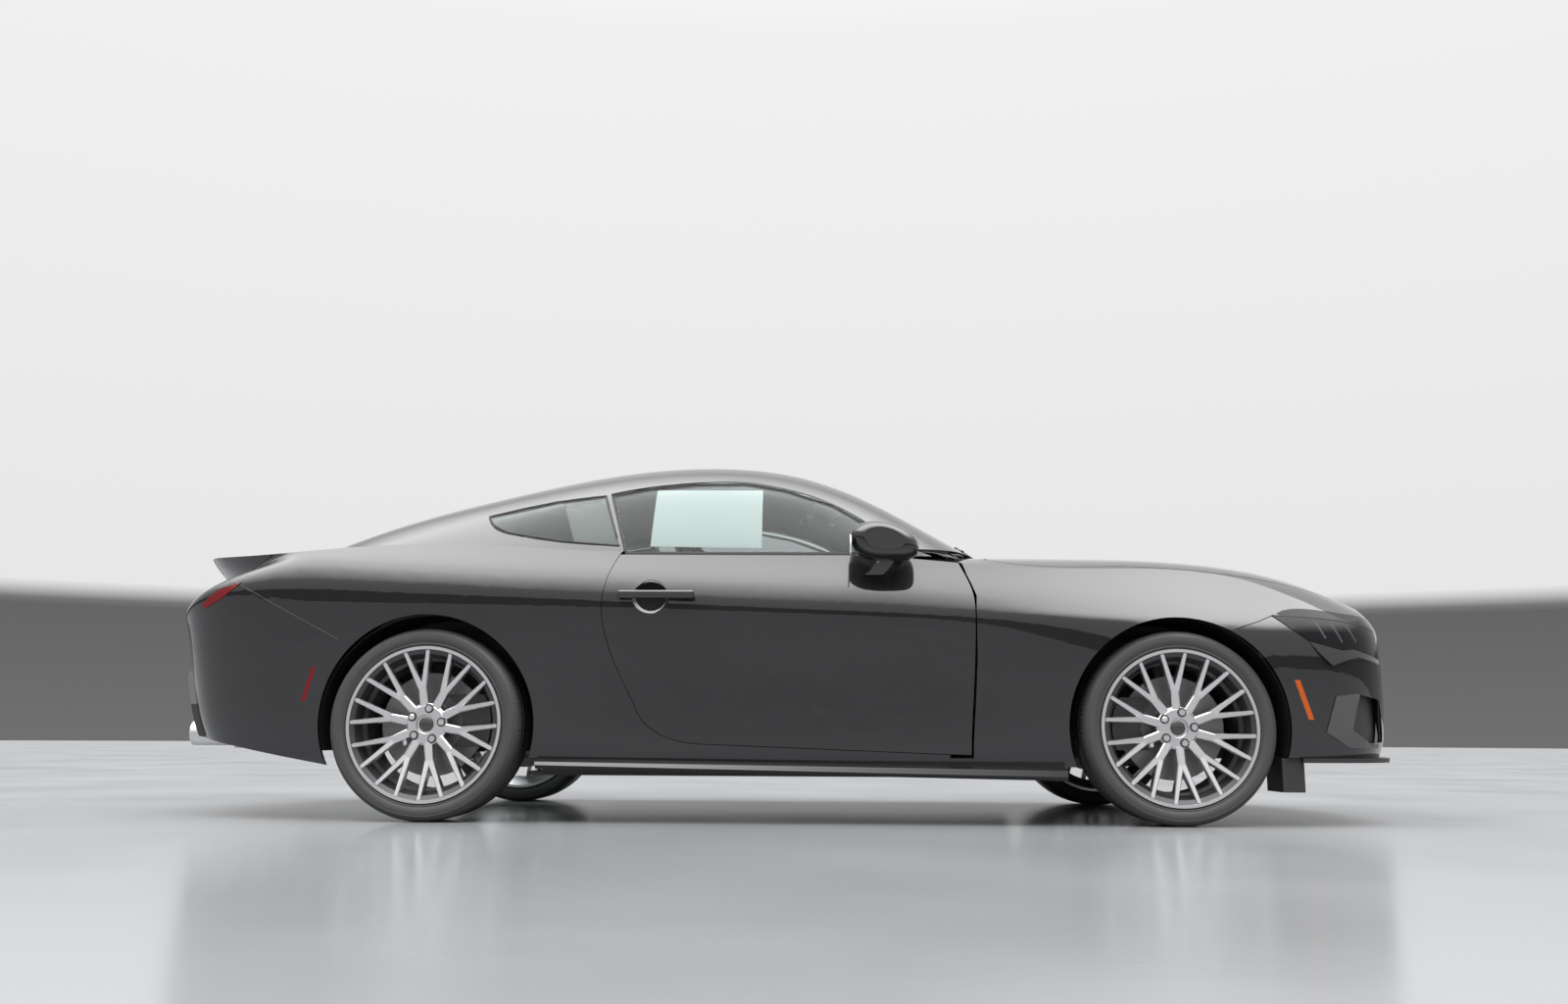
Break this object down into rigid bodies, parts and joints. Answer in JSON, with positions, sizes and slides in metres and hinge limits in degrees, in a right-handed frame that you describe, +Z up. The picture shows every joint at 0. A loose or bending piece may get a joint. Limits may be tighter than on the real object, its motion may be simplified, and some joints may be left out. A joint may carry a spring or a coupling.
{
  "type": "fastback muscle car",
  "caption": "Two-door fastback muscle coupe with forked-spoke wheels, opening doors, hood and decklid, and steered front wheels.",
  "frame": {"origin": "on the ground, under the middle of the car's overall box", "axes": "+X forward, +Y to the car's left, +Z up"},
  "size_m": [4.7992, 2.0804, 1.4081],
  "materials": {
    "body_paint": "gloss black",
    "glass_tint": "lightly tinted safety glass",
    "black_plastic": "grained black",
    "underbody": "satin dark grey",
    "cast_steel": "rough cast",
    "steel": "turned",
    "wheel_silver": "painted silver",
    "tyre_rubber": "moulded",
    "lamp_smoked": "smoked clear lens",
    "lamp_red": "red lens",
    "lamp_amber": "amber lens",
    "seat_cloth": "black woven",
    "cabin_plastic": "soft grained",
    "exhaust_steel": "bright tips"
  },
  "bodies": {
    "root": {"floor": "underbody", "wheel_liners": "black_plastic", "front_fender_right": "body_paint", "front_fender_left": "body_paint", "quarter_panel_right": "body_paint", "quarter_panel_left": "body_paint", "roof": "body_paint", "pillar_frame_right": "body_paint", "pillar_frame_left": "body_paint", "cowl": "black_plastic", "windshield": "glass_tint", "rear_window": "glass_tint", "quarter_glasses": "glass_tint", "front_bumper": "body_paint", "rear_bumper": "body_paint", "grilles": "black_plastic", "splitter": "black_plastic", "diffuser": "black_plastic", "side_skirts": "body_paint", "headlamps": "lamp_smoked", "tail_lamps": "lamp_red", "front_markers": "lamp_amber", "exhaust": "exhaust_steel", "engine": "cast_steel", "seat_right": "seat_cloth", "seat_left": "seat_cloth", "rear_seat": "seat_cloth", "dashboard": "cabin_plastic", "steering_wheel": "cabin_plastic", "front_suspension": "cast_steel", "rear_suspension": "cast_steel", "rear_knuckles": "cast_steel"},
    "door_body_right": {"door_right": "body_paint", "door_glass_right": "glass_tint", "mirror_right": "body_paint", "door_handle_right": "body_paint"},
    "door_body_left": {"door_left": "body_paint", "door_glass_left": "glass_tint", "mirror_left": "body_paint", "door_handle_left": "body_paint"},
    "hood_body": {"hood": "body_paint"},
    "decklid_body": {"decklid": "body_paint"},
    "steer_right": {"knuckle_right": "cast_steel"},
    "steer_left": {"knuckle_left": "cast_steel"},
    "wheel_front_right": {"rim_front_right": "wheel_silver", "tyre_front_right": "tyre_rubber", "brake_disc_front_right": "steel"},
    "wheel_front_left": {"rim_front_left": "wheel_silver", "tyre_front_left": "tyre_rubber", "brake_disc_front_left": "steel"},
    "wheel_rear_right": {"rim_rear_right": "wheel_silver", "tyre_rear_right": "tyre_rubber", "brake_disc_rear_right": "steel"},
    "wheel_rear_left": {"rim_rear_left": "wheel_silver", "tyre_rear_left": "tyre_rubber", "brake_disc_rear_left": "steel"}
  },
  "joints": [
    {"name": "door_hinge_right", "type": "hinge", "parent": "root", "child": "door_body_right", "pos_m": [0.617, -0.872, 0.6], "axis": [0, 0, 1], "range_deg": [0, 68]},
    {"name": "door_hinge_left", "type": "hinge", "parent": "root", "child": "door_body_left", "pos_m": [0.617, 0.872, 0.6], "axis": [0, 0, -1], "range_deg": [0, 68]},
    {"name": "hood_hinge", "type": "hinge", "parent": "root", "child": "hood_body", "pos_m": [0.67, 0, 0.965], "axis": [0, -1, 0], "range_deg": [0, 55]},
    {"name": "decklid_hinge", "type": "hinge", "parent": "root", "child": "decklid_body", "pos_m": [-1.735, 0, 0.99], "axis": [0, 1, 0], "range_deg": [0, 70]},
    {"name": "steer_right", "type": "hinge", "parent": "root", "child": "steer_right", "pos_m": [1.425, -0.772, 0.3465], "axis": [0, 0, 1], "range_deg": [-34, 34]},
    {"name": "steer_left", "type": "hinge", "parent": "root", "child": "steer_left", "pos_m": [1.425, 0.772, 0.3465], "axis": [0, 0, 1], "range_deg": [-34, 34]},
    {"name": "wheel_spin_front_right", "type": "hinge", "parent": "steer_right", "child": "wheel_front_right", "pos_m": [1.425, -0.786, 0.3465], "axis": [0, 1, 0], "continuous": true},
    {"name": "wheel_spin_front_left", "type": "hinge", "parent": "steer_left", "child": "wheel_front_left", "pos_m": [1.425, 0.786, 0.3465], "axis": [0, 1, 0], "continuous": true},
    {"name": "wheel_spin_rear_right", "type": "hinge", "parent": "root", "child": "wheel_rear_right", "pos_m": [-1.295, -0.812, 0.3465], "axis": [0, 1, 0], "continuous": true},
    {"name": "wheel_spin_rear_left", "type": "hinge", "parent": "root", "child": "wheel_rear_left", "pos_m": [-1.295, 0.812, 0.3465], "axis": [0, 1, 0], "continuous": true}
  ],
  "couplings": [
    {"joint": "steer_left", "follows": "steer_right", "ratio": 1}
  ]
}
